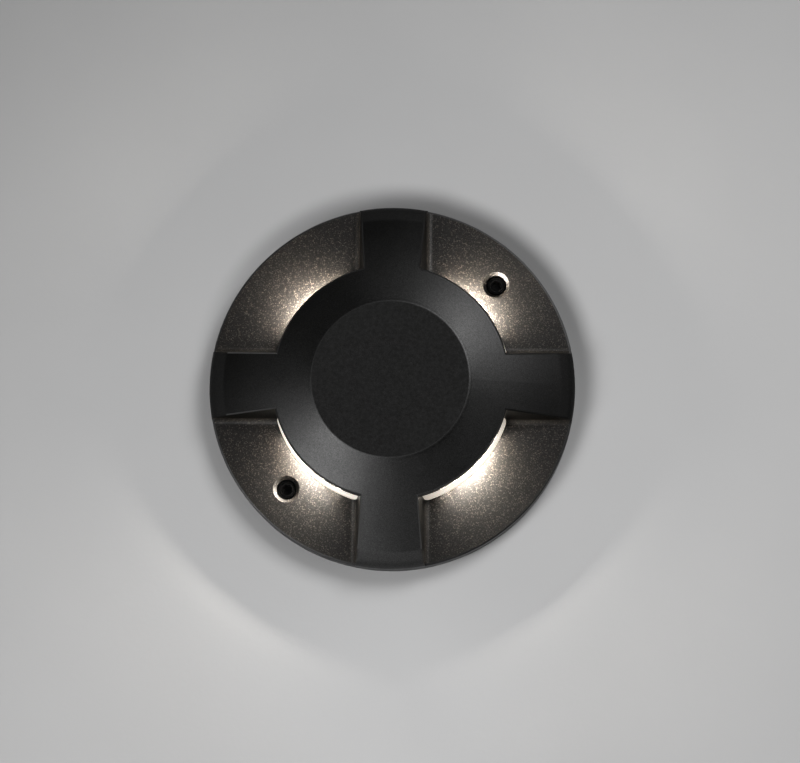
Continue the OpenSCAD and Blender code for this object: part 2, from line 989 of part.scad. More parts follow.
// Three ways, each with a screw from above and an entry from the outer side
module terminal_block() {
    entry = (terminal_z - terminal_way) / 2;
    color([0.2, 0.5, 0.28])
        translate([0, -component_in_r - terminal_depth / 2, 0])
            difference() {
                block(terminal_w, terminal_depth, driver_top, driver_top + terminal_h);
                for (way = [-1, 0, 1])
                    translate([way * terminal_pitch, 0, 0]) {
                        hole(
                            terminal_screw_d / 2 + close,
                            driver_top + terminal_z,
                            driver_top + terminal_h + past
                        );
                        translate([0, -terminal_depth / 2, 0])
                            block(terminal_way, 1.5 * terminal_depth,
                                driver_top + entry, driver_top + entry + terminal_way);
                    }
            }
}

module terminal_screws() {
    color([0.8, 0.72, 0.4])
        for (way = [-1, 0, 1])
            translate([
                way * terminal_pitch,
                -component_in_r - terminal_depth / 2,
                driver_top + terminal_z,
            ])
                difference() {
                    cylinder(d = terminal_screw_d, h = terminal_screw_h);
                    block(terminal_screw_d + past, terminal_slot,
                        0.7 * terminal_screw_h, terminal_screw_h + past);
                }
}

// One lead of every LED board, up from the driver board and round a bend to the board's face
module leads(shift) {
    for (angle = pockets)
        rotate(angle)
            translate([lead_foot, shift, 0]) {
                hole(lead_d / 2, driver_top, lead_z - lead_bend);
                translate([-lead_bend, 0, lead_z - lead_bend])
                    rotate([90, 0, 0])
                        rotate_extrude(angle = 90)
                            translate([lead_bend, 0])
                                circle(d = lead_d);
                translate([led_face - lead_foot, 0, lead_z])
                    rotate([0, 90, 0])
                        cylinder(d = lead_d, h = lead_foot - led_face - lead_bend);
            }
}

module positive_leads() {
    color([0.75, 0.1, 0.1])
        leads(led_board_w / 2 - lead_edge - lead_pitch);
}

module negative_leads() {
    color([0.1, 0.1, 0.1])
        leads(led_board_w / 2 - lead_edge);
}

module earth_screw() {
    color([0.72, 0.72, 0.7])
        around(earth_r, [earth_angle])
            translate([0, 0, driver_z + earth_washer_t])
                cap_screw(small_thread, small_head_d, small_low_head_h,
                    pad_h + small_thread / 2 + earth_washer_t, small_socket);
}

module earth_washer() {
    color([0.8, 0.72, 0.4])
        around(earth_r, [earth_angle])
            ring(small_thread / 2 + close, earth_pad_r, driver_z, driver_z + earth_washer_t);
}

module gland_body() {
    color([0.82, 0.74, 0.5])
        difference() {
            union() {
                translate([0, 0, gland_hex_z])
                    cylinder(d = gland_corner, h = gland_hex_h, $fn = 6);
                hole(gland_thread / 2 - thread_gap, gland_hex_z, locknut_top + gland_step);
                hole(gland_thread / 2 - gland_step, gland_hex_z - gland_bite, gland_hex_z + past);
            }
            hole(gland_bore / 2 + loose, 0, locknut_top + gland_step + past);
            hole(gland_thread / 2 - gland_wall, 0, gland_hex_z);
        }
}

module gland_gasket() {
    color([0.1, 0.1, 0.1])
        ring(gland_thread / 2 + close, gland_flats / 2, gland_gasket_z, well_ceiling);
}

module gland_locknut() {
    color([0.82, 0.74, 0.5])
        translate([0, 0, well_top])
            difference() {
                cylinder(d = gland_corner, h = locknut_h, $fn = 6);
                hole(gland_thread / 2 + thread_gap, -past, locknut_h + past);
            }
}

module gland_seal() {
    color([0.12, 0.12, 0.12])
        ring(
            gland_bore / 2,
            gland_thread / 2 - gland_wall - close,
            gland_z + gland_seal_lift,
            gland_hex_z
        );
}

module gland_nut() {
    color([0.82, 0.74, 0.5])
        translate([0, 0, gland_z])
            difference() {
                union() {
                    translate([0, 0, gland_cone])
                        cylinder(d = gland_corner, h = gland_nut_h - gland_cone - close, $fn = 6);
                    cylinder(
                        r1 = gland_flats / 2 - 0.7 * gland_cone,
                        r2 = gland_flats / 2,
                        h = gland_cone
                    );
                }
                hole(gland_bore / 2 + loose, -past, gland_nut_h);
                hole(gland_thread / 2 - gland_wall, gland_seal_lift, gland_nut_h);
                hole(
                    gland_thread / 2 - gland_step + thread_gap,
                    gland_nut_h - gland_bite - close,
                    gland_nut_h + past
                );
            }
}

top_cover();
mounting_plate();
fixing_screws();
back_plate();
closing_screws();
lower_seal();
diffuser();
upper_seal();
heat_sink();
heat_sink_screws();
thermal_pad();
led_board(1);  // led_board_1
led_board(2);  // led_board_2
led_board(3);  // led_board_3
led_board(4);  // led_board_4
led_packages();
led_board_screws();
reflector(1);  // reflector_1
reflector(2);  // reflector_2
reflector(3);  // reflector_3
reflector(4);  // reflector_4
driver_board();
driver_screws();
driver_chips();
transformer_core();
transformer_winding();
storage_capacitor();
choke();
film_capacitor();
varistor();
fuse();
terminal_block();
terminal_screws();
positive_leads();
negative_leads();
earth_screw();
earth_washer();
gland_body();
gland_gasket();
gland_locknut();
gland_seal();
gland_nut();
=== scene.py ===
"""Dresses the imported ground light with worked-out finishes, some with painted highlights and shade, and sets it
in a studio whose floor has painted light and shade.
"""
import logging
import math
from dataclasses import dataclass, field
from enum import Enum

import bpy
from mathutils import Matrix, Vector

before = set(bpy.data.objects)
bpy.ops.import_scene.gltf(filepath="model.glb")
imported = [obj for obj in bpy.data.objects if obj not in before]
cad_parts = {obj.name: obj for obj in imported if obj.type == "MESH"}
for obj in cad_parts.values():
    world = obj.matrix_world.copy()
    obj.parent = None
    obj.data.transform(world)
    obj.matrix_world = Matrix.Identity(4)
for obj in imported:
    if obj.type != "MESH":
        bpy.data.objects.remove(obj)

log = logging.getLogger("ground_light")

MM = 0.001
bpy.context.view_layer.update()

Socket = bpy.types.NodeSocket
Rgb = tuple[float, float, float]
Point = tuple[float, float, float]
Pair = tuple[float, float]
Feed = Socket | float | Rgb

BLACK: Rgb = (0.0, 0.0, 0.0)
WHITE: Rgb = (1.0, 1.0, 1.0)
WARM: Rgb = (1.0, 0.9, 0.77)
UP = Vector((0.0, 0.0, 1.0))


class Sum(Enum):
    """What a Math node does with its two numbers."""

    ADD = "ADD"
    TAKE = "SUBTRACT"
    TIMES = "MULTIPLY"
    OVER = "DIVIDE"
    POWER = "POWER"
    LEAST = "MINIMUM"
    MOST = "MAXIMUM"
    SIZE = "ABSOLUTE"
    ANGLE = "ARCTAN2"
    PART = "FRACT"


class Run(Enum):
    """How a value goes from one end of its range to the other."""

    SMOOTH = "SMOOTHSTEP"
    STRAIGHT = "LINEAR"


class Cell(Enum):
    """What is read from a pattern of cells: a value a cell, or the distance to its middle."""

    VALUE = "Color"
    DISTANCE = "Distance"


class Tree:
    """A node tree, written a node to a line."""

    def __init__(self, tree: bpy.types.NodeTree) -> None:
        """Works on that tree."""
        self.tree = tree

    def node(self, kind: str, feeds: dict[str | int, Feed] | None = None, **settings: object) -> bpy.types.Node:
        """Adds a node.

        Args:
            kind: Blender's node type, without its ShaderNode prefix.
            feeds: what goes into which input, a socket or a fixed value.
            settings: the node's own settings.

        Returns:
            The new node.
        """
        made = self.tree.nodes.new("ShaderNode" + kind)
        for key, value in settings.items():
            setattr(made, key, value)
        for key, value in (feeds or {}).items():
            self.feed(made.inputs[key], value)
        return made

    def feed(self, socket: Socket, value: Feed) -> None:
        """Links a socket into an input, or sets the input to a fixed value.

        Args:
            socket: the input.
            value: a socket, a number or a colour.
        """
        if isinstance(value, bpy.types.NodeSocket):
            self.tree.links.new(value, socket)
        elif isinstance(value, tuple) and socket.type == "RGBA":
            socket.default_value = (*value, 1.0)
        else:
            socket.default_value = value

    def sum(self, how: Sum, a: Feed, b: Feed = 0.0) -> Socket:
        """The result of one sum on two numbers."""
        return self.node("Math", {0: a, 1: b}, operation=how.value).outputs[0]

    def product(self, first: Feed, *more: Feed) -> Feed:
        """All the numbers multiplied together, which also gives the place that zones share."""
        for number in more:
            first = self.sum(Sum.TIMES, first, number)
        return first

    def ease(self, value: Feed, low: float, high: float, out_low: float = 0.0, out_high: float = 1.0,
             run: Run = Run.SMOOTH) -> Socket:
        """Maps a value from one range to another, level beyond the ends.

        Args:
            value: the value.
            low: where it gives out_low.
            high: where it gives out_high, which may be below low.
            out_low: the result at low.
            out_high: the result at high.
            run: how it goes between them.

        Returns:
            The result.
        """
        feeds = {"Value": value, "From Min": low, "From Max": high, "To Min": out_low, "To Max": out_high}
        return self.node("MapRange", feeds, interpolation_type=run.value).outputs[0]

    def span(self, value: Feed, low: float, high: float, out_low: float = 0.0, out_high: float = 1.0) -> Socket:
        """Value run straight from out_low at low to out_high at high, and level beyond."""
        return self.ease(value, low, high, out_low, out_high, Run.STRAIGHT)

    def tint(self, share: Feed, a: Feed, b: Feed) -> Socket:
        """A colour between a, at share 0, and b, at share 1."""
        return self.node("Mix", {0: share, 6: a, 7: b}, data_type="RGBA").outputs[2]

    def between(self, share: Feed, a: Feed, b: Feed) -> Socket:
        """A number between a, at share 0, and b, at share 1."""
        return self.node("Mix", {0: share, 2: a, 3: b}, data_type="FLOAT").outputs[0]


class Graph(Tree):
    """One material's node tree, with lengths in millimetres."""

    def __init__(self, name: str) -> None:
        """Starts a material with a Principled shader.

        Args:
            name: the material's name.
        """
        self.material = bpy.data.materials.new(name)
        self.material.use_nodes = True
        super().__init__(self.material.node_tree)
        self.shader = self.tree.nodes["Principled BSDF"]
        where = self.node("TexCoord").outputs["Object"]
        self.place = self.node("VectorMath", {0: where, "Scale": 1 / MM}, operation="SCALE").outputs[0]

    def set(self, **feeds: Feed) -> None:
        """Feeds the shader's inputs, by their names with underscores for spaces."""
        for key, value in feeds.items():
            self.feed(self.shader.inputs[key.replace("_", " ")], value)

    def mapped(self, centre: Point = (0, 0, 0), turn: float = 0.0, stretch: Point = (1, 1, 1),
               source: Socket | None = None) -> Socket:
        """Centres, turns about Z and stretches the place that a pattern is read at.

        Args:
            centre: the pattern's centre, in millimetres.
            turn: angle about Z, in degrees.
            stretch: how much denser the pattern gets along each axis.
            source: the place to start from, or None for the object's own.

        Returns:
            The new place.
        """
        moved = self.node("VectorMath", {0: source or self.place, 1: centre}, operation="SUBTRACT")
        made = self.node("Mapping", {"Vector": moved.outputs[0], "Scale": stretch})
        made.inputs["Rotation"].default_value = (0, 0, math.radians(-turn))
        return made.outputs[0]

    def noise(self, grain: float, detail: float = 2.0, place: Socket | None = None) -> Socket:
        """A cloudy value from 0 to 1 whose spots are about grain millimetres across."""
        feeds = {"Vector": place or self.place, "Scale": 1 / grain, "Detail": detail}
        return self.node("TexNoise", feeds).outputs["Fac"]

    def cells(self, grain: float, what: Cell) -> Socket:
        """Reads cells about grain millimetres across.

        Args:
            grain: the cells' size, in millimetres.
            what: what is read from them.

        Returns:
            A number from 0 to about 1.
        """
        made = self.node("TexVoronoi", {"Vector": self.place, "Scale": 1 / grain}).outputs[what.value]
        if what is Cell.DISTANCE:
            return made
        return self.node("SeparateColor", {0: made}).outputs[0]

    def axes(self, place: Socket | None = None) -> tuple[Socket, Socket, Socket]:
        """The three coordinates of a place, in millimetres."""
        made = self.node("SeparateXYZ", {0: place or self.place})
        return made.outputs[0], made.outputs[1], made.outputs[2]

    def radius(self, x: Socket, y: Socket) -> Socket:
        """Distance from the Z axis."""
        flat = self.node("CombineXYZ", {0: x, 1: y})
        return self.node("VectorMath", {0: flat.outputs[0]}, operation="LENGTH").outputs["Value"]

    def relief(self, height: Socket, depth: float, strength: Feed = 1.0, under: Socket | None = None) -> Socket:
        """A bumped normal.

        Args:
            height: the relief, from 0 to 1.
            depth: its real depth, in millimetres.
            strength: how much of it shows, which may vary over the surface.
            under: a normal to add it to.

        Returns:
            The new normal.
        """
        made = self.node("Bump", {"Height": height, "Distance": depth * MM, "Strength": strength})
        if under:
            self.feed(made.inputs["Normal"], under)
        return made.outputs[0]


@dataclass(frozen=True)
class Finish:
    """A finish: a name and a colour, mottled, with its own gloss and relief."""

    name: str
    colour: Rgb
    worn: Rgb
    gloss: Pair = (0.35, 0.5)
    patch: float = 6.0
    grain: float = 0.5
    depth: float = 0.01
    metallic: float = 0.0

    def material(self) -> bpy.types.Material:
        """Makes the material."""
        graph = Graph(self.name)
        graph.set(Metallic=self.metallic)
        self.dress(graph)
        return graph.material

    def dress(self, graph: Graph) -> None:
        """Lays the mottled colour, gloss and fine relief on the shader.

        Args:
            graph: the material's node tree.
        """
        patches = graph.noise(self.patch, 4.0)
        fine = graph.noise(self.grain, 3.0)
        share = graph.ease(graph.sum(Sum.ADD, patches, graph.span(fine, 0, 1, -0.12, 0.12)), 0.42, 0.68)
        graph.set(Base_Color=graph.tint(share, self.colour, self.worn),
                  Roughness=graph.between(share, *self.gloss),
                  Normal=graph.relief(fine, self.depth))


@dataclass(frozen=True)
class Zones:
    """The cover's zones, each 1 inside and 0 outside, and the place that they are found from."""

    x: Socket
    y: Socket
    z: Socket
    r: Socket
    crown: Socket
    sandy: Socket
    fillet: Socket
    wall: Socket
    edge: Socket
    bend: Socket


@dataclass(frozen=True)
class Grains:
    """The coat's patterns, from the finest to the broadest."""

    sand: Socket
    speck: Socket
    pits: Socket
    peel: Socket
    mottle: Socket
    cloud: Socket


@dataclass(frozen=True)
class PowderCoat(Finish):
    """Charcoal powder coat on the casting: matt crown, satin shoulder and arms, sparkling pocket floors.

    The cover's own measures come first, in millimetres. Gloss is a roughness, and shine is how strongly
    a zone mirrors; shine also carries painted highlights and painted shade, and the floors' colour carries painted
    shade.
    """

    crown_r: float = 35.9
    crown_z: float = 33.2
    crown_edge: Pair = (37.7, 35.4)
    shoulder_r: Pair = (35.0, 39.0)
    cone_top: float = 48.949
    cone_fall: float = 0.40403
    window_r: float = 54.0
    floor_z: float = 11.3
    floor_r: float = 84.0
    arm_foot: float = 16.0
    arm_draft: float = 0.19438
    bend_r: float = 77.0
    rim_r: float = 83.7
    floor_colour: Rgb = (0.0055, 0.0047, 0.004)
    fleck_colour: Rgb = (0.068, 0.058, 0.048)
    crown_gloss: Pair = (0.72, 0.9)
    floor_gloss: Pair = (0.58, 0.4)
    edge_gloss: float = 0.3
    bend_gloss: float = 0.66
    painted_falloff_r: Pair = (42.0, 80.0)
    painted_rim_shade: float = 0.4
    painted_floor_rim_shade: float = 0.5
    painted_near_sheen: float = 1.35
    crown_shine: float = 0.68
    painted_wall_shade: float = 0.5
    painted_rim_highlight: float = 1.5
    painted_skirt_shade: float = 0.35
    painted_edge_glint: Pair = (0.6, 3.2)
    painted_fillet_sheen: float = 1.7
    painted_mouth_shade: float = 0.8
    plain_specular: float = 0.5
    crown_relief: float = 0.42
    grit_depth: float = 0.08

    def dress(self, graph: Graph) -> None:
        """Gives each zone its colour, gloss, shine and grain.

        Args:
            graph: the material's node tree.
        """
        zones = self.zones(graph)
        grains = Grains(sand=graph.noise(0.34, 3.0), speck=graph.cells(0.36, Cell.VALUE),
                        pits=graph.cells(0.6, Cell.DISTANCE), peel=graph.noise(0.6, 3.0),
                        mottle=graph.noise(1.6, 5.0), cloud=graph.noise(24.0, 2.0))
        graph.set(Base_Color=self.coat_colour(graph, zones, grains),
                  Roughness=self.coat_gloss(graph, zones, grains),
                  Specular_IOR_Level=graph.product(self.coat_shine(graph, zones, grains), self.plain_specular),
                  Normal=self.coat_relief(graph, zones, grains))

    def zones(self, graph: Graph) -> Zones:
        """Finds the zones of the cover by place.

        Args:
            graph: the material's node tree.

        Returns:
            The zones.
        """
        x, y, z = graph.axes()
        r = graph.radius(x, y)
        crown = graph.product(graph.ease(r, self.crown_r + 0.5, self.crown_r - 0.3),
                              graph.ease(z, self.crown_z - 0.4, self.crown_z + 0.3))
        inside = graph.product(graph.ease(r, self.floor_r + 0.8, self.floor_r - 0.4),
                               graph.ease(r, self.window_r - 1.0, self.window_r))
        floor = graph.product(graph.ease(z, self.floor_z + 0.5, self.floor_z + 0.04), inside,
                              graph.ease(z, self.floor_z - 2.0, self.floor_z - 1.5))
        fillet, wall, edge = self.arm_zones(graph, x, y, z, r)
        fillet = graph.product(fillet, inside)
        sandy = graph.sum(Sum.MOST, floor, fillet)
        bend = graph.product(graph.ease(r, self.bend_r, self.bend_r + 2.5),
                             graph.ease(z, self.floor_z + 0.3, self.floor_z + 1.0),
                             graph.sum(Sum.TAKE, 1.0, sandy))
        return Zones(x, y, z, r, crown, sandy, fillet, wall, edge, bend)

    def arm_zones(self, graph: Graph, x: Socket, y: Socket, z: Socket, r: Socket) -> tuple[Feed, Feed, Feed]:
        """Finds the arms' foot fillets, drafted walls and bevelled top edges.

        Args:
            graph: the material's node tree.
            x: place along X.
            y: place along Y.
            z: height.
            r: distance from the axis.

        Returns:
            Fillet, wall and edge, each 1 on its zone and 0 elsewhere.
        """
        least = graph.sum(Sum.LEAST, graph.sum(Sum.SIZE, x), graph.sum(Sum.SIZE, y))
        face = graph.sum(Sum.ADD, self.arm_foot + self.arm_draft * self.floor_z, graph.product(z, -self.arm_draft))
        sideways = graph.sum(Sum.TAKE, face, least)
        cone = graph.sum(Sum.ADD, graph.product(r, -self.cone_fall), self.cone_top)
        under = graph.sum(Sum.TAKE, cone, z)
        fillet = graph.product(graph.ease(least, self.arm_foot - 0.8, self.arm_foot),
                               graph.ease(z, self.floor_z + 2.8, self.floor_z + 2.0),
                               graph.ease(z, self.floor_z, self.floor_z + 0.15))
        wall = graph.product(graph.ease(sideways, 0.1, 0.03), graph.ease(sideways, -0.12, -0.05),
                             graph.ease(z, self.floor_z + 2.1, self.floor_z + 2.8),
                             graph.ease(r, self.window_r + 0.6, self.window_r + 1.2))
        edge = graph.product(graph.ease(sideways, 0.02, 0.1), graph.ease(under, 0.02, 0.1),
                             graph.ease(under, 0.8, 0.5), graph.ease(r, self.bend_r + 1.0, self.bend_r),
                             graph.ease(r, self.window_r - 1.0, self.window_r))
        return fillet, wall, edge

    def coat_colour(self, graph: Graph, zones: Zones, grains: Grains) -> Socket:
        """Mottles the coat, strews pale flecks over the sandy floors and darkens the floors towards the rim as
        painted shade.

        Args:
            graph: the material's node tree.
            zones: the cover's zones.
            grains: the coat's patterns.

        Returns:
            The colour.
        """
        coat = graph.tint(graph.ease(grains.mottle, 0.35, 0.7), self.colour, self.worn)
        dark, light = (tuple(share * part for part in self.floor_colour) for share in (0.45, 1.5))
        ground = graph.tint(graph.ease(grains.sand, 0.32, 0.68), dark, light)
        ground = graph.tint(graph.ease(grains.speck, 0.82, 1.0), ground, self.fleck_colour)
        # Painted shade: the floors' colour darkens towards the rim, away from the windows' light.
        ground = graph.tint(graph.ease(zones.r, *self.painted_falloff_r, 1.0, self.painted_floor_rim_shade), BLACK, ground)
        return graph.tint(zones.sandy, coat, ground)

    def coat_gloss(self, graph: Graph, zones: Zones, grains: Grains) -> Socket:
        """Makes the crown matt, the shoulder and arms satin, and the floors gritty.

        Args:
            graph: the material's node tree.
            zones: the cover's zones.
            grains: the coat's patterns.

        Returns:
            The roughness.
        """
        satin = graph.between(graph.ease(grains.cloud, 0.35, 0.65), *self.gloss)
        satin = graph.sum(Sum.ADD, satin, graph.span(grains.peel, 0.25, 0.75, -0.07, 0.07))
        matt = graph.span(grains.mottle, 0.3, 0.7, *self.crown_gloss)
        gritty = graph.span(grains.sand, 0.3, 0.7, *self.floor_gloss)
        gloss = graph.between(zones.sandy, graph.between(zones.crown, satin, matt), gritty)
        gloss = graph.between(zones.edge, gloss, self.edge_gloss)
        return graph.between(zones.bend, gloss, self.bend_gloss)

    def coat_shine(self, graph: Graph, zones: Zones, grains: Grains) -> Socket:
        """Paints highlights and shade into the shine: painted shade towards the rim and on the arm walls and
        skirt, a painted highlight on the lower side, on the edges towards the near softbox and on a thin rim line,
        and the floors' own shine.

        Args:
            graph: the material's node tree.
            zones: the cover's zones.
            grains: the coat's patterns.

        Returns:
            The shine, 1 for a plain coat.
        """
        x, y, z, r = zones.x, zones.y, zones.z, zones.r
        # Painted shade and highlight: the shine falls towards the rim, rises on the lower side and is shared out
        # by bearing.
        away = graph.ease(r, *self.painted_falloff_r, 1.0, self.painted_rim_shade)
        shine = graph.between(graph.ease(y, -20.0, -50.0), away, self.painted_near_sheen)
        shine = graph.product(graph.between(zones.crown, shine, self.crown_shine),
                              graph.product(graph.span(grains.sand, 0.3, 0.7, 0.7, 1.3),
                                            graph.span(grains.speck, 0.0, 1.0, 0.85, 1.15)),
                              graph.between(graph.ease(r, *self.shoulder_r), 1.0, self.painted_sheen_by_bearing(graph, zones)))
        # Painted glint: the bevelled top edges mirror more strongly towards the lower left, where the near softbox
        # stands.
        painted_glint = graph.ease(graph.sum(Sum.ADD, x, y), 20.0, -40.0, *self.painted_edge_glint)
        # Painted shade: the arm walls mirror half as strongly.
        shine = graph.between(zones.wall, shine, graph.product(shine, self.painted_wall_shade))
        shine = graph.between(zones.edge, shine, painted_glint)
        # Painted highlight: a thin line round the rim's top edge mirrors more strongly.
        line = graph.product(graph.ease(r, self.rim_r, self.rim_r + 0.4), graph.ease(z, 9.6, 10.2),
                             graph.ease(z, 11.6, 11.25))
        # Painted shade: the skirt below the rim mirrors less, so that it stays dark.
        skirt = graph.product(graph.ease(r, self.rim_r, self.rim_r + 0.6), graph.ease(z, 9.8, 9.0))
        shine = graph.between(line, graph.between(skirt, shine, self.painted_skirt_shade), self.painted_rim_highlight)
        return graph.between(zones.sandy, shine, self.sparkle(graph, zones, grains))

    def painted_sheen_by_bearing(self, graph: Graph, zones: Zones) -> Feed:
        """Paints highlight and shade into the shoulder's shine by bearing, raised on some sides and lowered on
        others as the softboxes' light falls.

        Args:
            graph: the material's node tree.
            zones: the cover's zones.

        Returns:
            A factor, 1 where a side is plain.
        """
        x, y, r = zones.x, zones.y, zones.r
        side = graph.sum(Sum.OVER, graph.sum(Sum.TAKE, x, y), r)
        length = graph.sum(Sum.OVER, graph.sum(Sum.ADD, x, y), r)
        right = graph.sum(Sum.OVER, x, r)
        return graph.product(graph.ease(side, 1.1, 1.4, 1.0, 1.35), graph.ease(side, -1.1, -1.4, 1.0, 0.8),
                             graph.ease(length, -1.1, -1.4, 1.0, 0.88), graph.ease(right, 0.75, 0.97, 1.0, 0.8))

    def sparkle(self, graph: Graph, zones: Zones, grains: Grains) -> Feed:
        """Gives the sandy floors their glittering grains, with painted shade towards the rim, a painted highlight
        on the fillets and painted shade in the screw mouths.

        Args:
            graph: the material's node tree.
            zones: the cover's zones.
            grains: the coat's patterns.

        Returns:
            The floors' shine.
        """
        away = graph.ease(zones.r, *self.painted_falloff_r, 1.0, self.painted_floor_rim_shade)
        plain = graph.product(away, graph.span(grains.speck, 0.5, 1.0, 0.72, 1.1))
        # Painted highlight: the fillets mirror more strongly.
        both = graph.between(zones.fillet, plain, graph.product(plain, self.painted_fillet_sheen))
        # Painted shade: the screw mouths' chamfers, below the floor, mirror less.
        return graph.product(both, graph.ease(zones.z, self.floor_z - 0.35, self.floor_z - 0.05,
                                              self.painted_mouth_shade, 1.0))

    def coat_relief(self, graph: Graph, zones: Zones, grains: Grains) -> Socket:
        """Raises the orange peel, the crown's rounded edge and the floors' grit.

        Args:
            graph: the material's node tree.
            zones: the cover's zones.
            grains: the coat's patterns.

        Returns:
            The normal.
        """
        fine = graph.relief(grains.peel, self.depth)
        top = graph.ease(zones.z, self.crown_z - 1.0, self.crown_z - 0.5)
        fine = graph.relief(graph.ease(zones.r, *self.crown_edge), self.crown_relief, top, fine)
        grit = graph.sum(Sum.ADD, graph.product(grains.sand, 0.7), graph.product(grains.pits, -0.5))
        return graph.relief(grit, self.grit_depth, zones.sandy, fine)


@dataclass(frozen=True)
class RolledSheet(Finish):
    """Rolled or drawn metal: long fine lines along one direction."""

    along: float = 0.0
    length: float = 40.0

    def dress(self, graph: Graph) -> None:
        """Stretches the grain along the rolling direction.

        Args:
            graph: the material's node tree.
        """
        place = graph.mapped(turn=self.along, stretch=(1 / self.length, 1, 1))
        lines = graph.noise(self.grain, 4.0, place)
        patches = graph.noise(self.patch, 4.0)
        graph.set(Base_Color=graph.tint(graph.ease(lines, 0.3, 0.7), self.colour, self.worn),
                  Roughness=graph.between(graph.ease(patches, 0.35, 0.7), *self.gloss),
                  Normal=graph.relief(lines, self.depth))


@dataclass(frozen=True)
class Turned(Finish):
    """Metal turned on a lathe, with fine rings round the centre of each piece that has the finish."""

    centre: Point = (0.0, 0.0, 0.0)
    folded: bool = False
    ring: float = 0.35

    def dress(self, graph: Graph) -> None:
        """Draws rings round the centre, folded over both axes where pieces lie opposite.

        Args:
            graph: the material's node tree.
        """
        place = graph.place
        if self.folded:
            place = graph.node("VectorMath", {0: place}, operation="ABSOLUTE").outputs[0]
        x, y, z = graph.axes(graph.mapped(self.centre, source=place))
        rings = graph.node("CombineXYZ", {0: graph.radius(x, y), 1: z})
        lines = graph.noise(self.ring, 3.0, rings.outputs[0])
        patches = graph.noise(self.patch, 4.0)
        graph.set(Base_Color=graph.tint(graph.ease(patches, 0.38, 0.66), self.colour, self.worn),
                  Roughness=graph.between(graph.ease(lines, 0.35, 0.65), *self.gloss),
                  Normal=graph.relief(lines, self.depth))


@dataclass(frozen=True)
class Satin(Finish):
    """Satin translucent plastic lit from behind: brightest at the middle of each window."""

    glow: Rgb = WARM
    power: float = 1.15
    spread: float = 20.0
    rest: float = 0.3
    window_z: Pair = (12.5, 22.0)
    scatter: float = 0.25
    scatter_depth: float = 0.003

    def dress(self, graph: Graph) -> None:
        """Adds the light of the four lamps behind it to the satin surface.

        Args:
            graph: the material's node tree.
        """
        super().dress(graph)
        x, y, z = graph.axes()
        angle = graph.sum(Sum.ANGLE, graph.sum(Sum.SIZE, y), graph.sum(Sum.SIZE, x))
        away = graph.sum(Sum.OVER, graph.sum(Sum.TAKE, angle, math.pi / 4), math.radians(self.spread))
        bell = graph.sum(Sum.POWER, math.exp(-1), graph.sum(Sum.POWER, graph.sum(Sum.SIZE, away), 2.0))
        bell = graph.product(bell, graph.ease(z, *self.window_z, 1.0, 0.8))
        share = graph.sum(Sum.ADD, graph.product(bell, 1 - self.rest), self.rest)
        graph.set(Emission_Color=graph.tint(share, BLACK, self.glow), Emission_Strength=self.power,
                  Subsurface_Weight=self.scatter, Subsurface_Scale=self.scatter_depth)


@dataclass(frozen=True)
class Laminate(Finish):
    """A circuit board's solder mask with the copper tracks showing faintly under it."""

    track: float = 2.2

    def dress(self, graph: Graph) -> None:
        """Draws tracks along the edges of squared cells.

        Args:
            graph: the material's node tree.
        """
        made = graph.node("TexVoronoi", {"Vector": graph.place, "Scale": 1 / self.track},
                          distance="MANHATTAN", feature="DISTANCE_TO_EDGE")
        tracks = graph.ease(made.outputs["Distance"], 0.1, 0.14)
        weave = graph.noise(self.grain, 2.0)
        graph.set(Base_Color=graph.tint(tracks, self.colour, self.worn),
                  Roughness=graph.between(graph.ease(weave, 0.4, 0.6), *self.gloss),
                  Normal=graph.relief(tracks, self.depth))


@dataclass(frozen=True)
class Wound(Finish):
    """Wound tape: thin level bands one over the other."""

    band: float = 0.8

    def dress(self, graph: Graph) -> None:
        """Draws the bands' edges up the winding.

        Args:
            graph: the material's node tree.
        """
        _, _, z = graph.axes()
        saw = graph.sum(Sum.PART, graph.sum(Sum.OVER, graph.sum(Sum.ADD, z, graph.noise(5.0, 1.0)), self.band))
        edge = graph.ease(saw, 0.0, 0.15)
        graph.set(Base_Color=graph.tint(edge, self.worn, self.colour),
                  Roughness=graph.between(edge, *self.gloss), Normal=graph.relief(edge, self.depth))


class Part:
    """A sub-assembly of the light: which of its nodes has which finish."""

    finishes: dict[Finish, tuple[str, ...]]

    def dress(self) -> None:
        """Gives every node of the sub-assembly its material and reports each piece."""
        for finish, names in self.finishes.items():
            material = finish.material()
            for name in names:
                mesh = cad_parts[name].data
                mesh.materials.clear()
                mesh.materials.append(material)
                log.info("%s: %s has the finish %s", type(self).__name__, name, finish.name)


@dataclass
class Cover(Part):
    """The cast cover: crown, shoulder, arms, pocket floors and skirt in one."""

    finishes: dict[Finish, tuple[str, ...]] = field(default_factory=lambda: {
        PowderCoat("charcoal powder coat", (0.0009, 0.0009, 0.0008), (0.0016, 0.0016, 0.0014),
                   gloss=(0.4, 0.43), depth=0.02): ("top_cover",),
    })


@dataclass
class Fixing(Part):
    """What holds the light down: plate, fixing screws and the screws that close the back."""

    finishes: dict[Finish, tuple[str, ...]] = field(default_factory=lambda: {
        RolledSheet("rolled stainless sheet", (0.5, 0.5, 0.48), (0.62, 0.62, 0.6), gloss=(0.3, 0.42),
                    patch=18.0, grain=0.35, depth=0.006, metallic=1.0): ("mounting_plate",),
        # Dark steel, made darker still as painted shade deep in the screw holes.
        Turned("darkened fixing steel", (0.008, 0.008, 0.0085), (0.016, 0.0155, 0.015), gloss=(0.24, 0.36),
               patch=2.2, depth=0.006, metallic=1.0, centre=(48.225, 48.225, 0.0), folded=True):
            ("fixing_screws",),
        Finish("zinc-plated steel", (0.56, 0.56, 0.53), (0.68, 0.67, 0.6), gloss=(0.28, 0.4), patch=1.6,
               grain=0.3, depth=0.004, metallic=1.0):
            ("closing_screws", "heat_sink_screws", "led_board_screws", "driver_screws", "earth_screw"),
    })


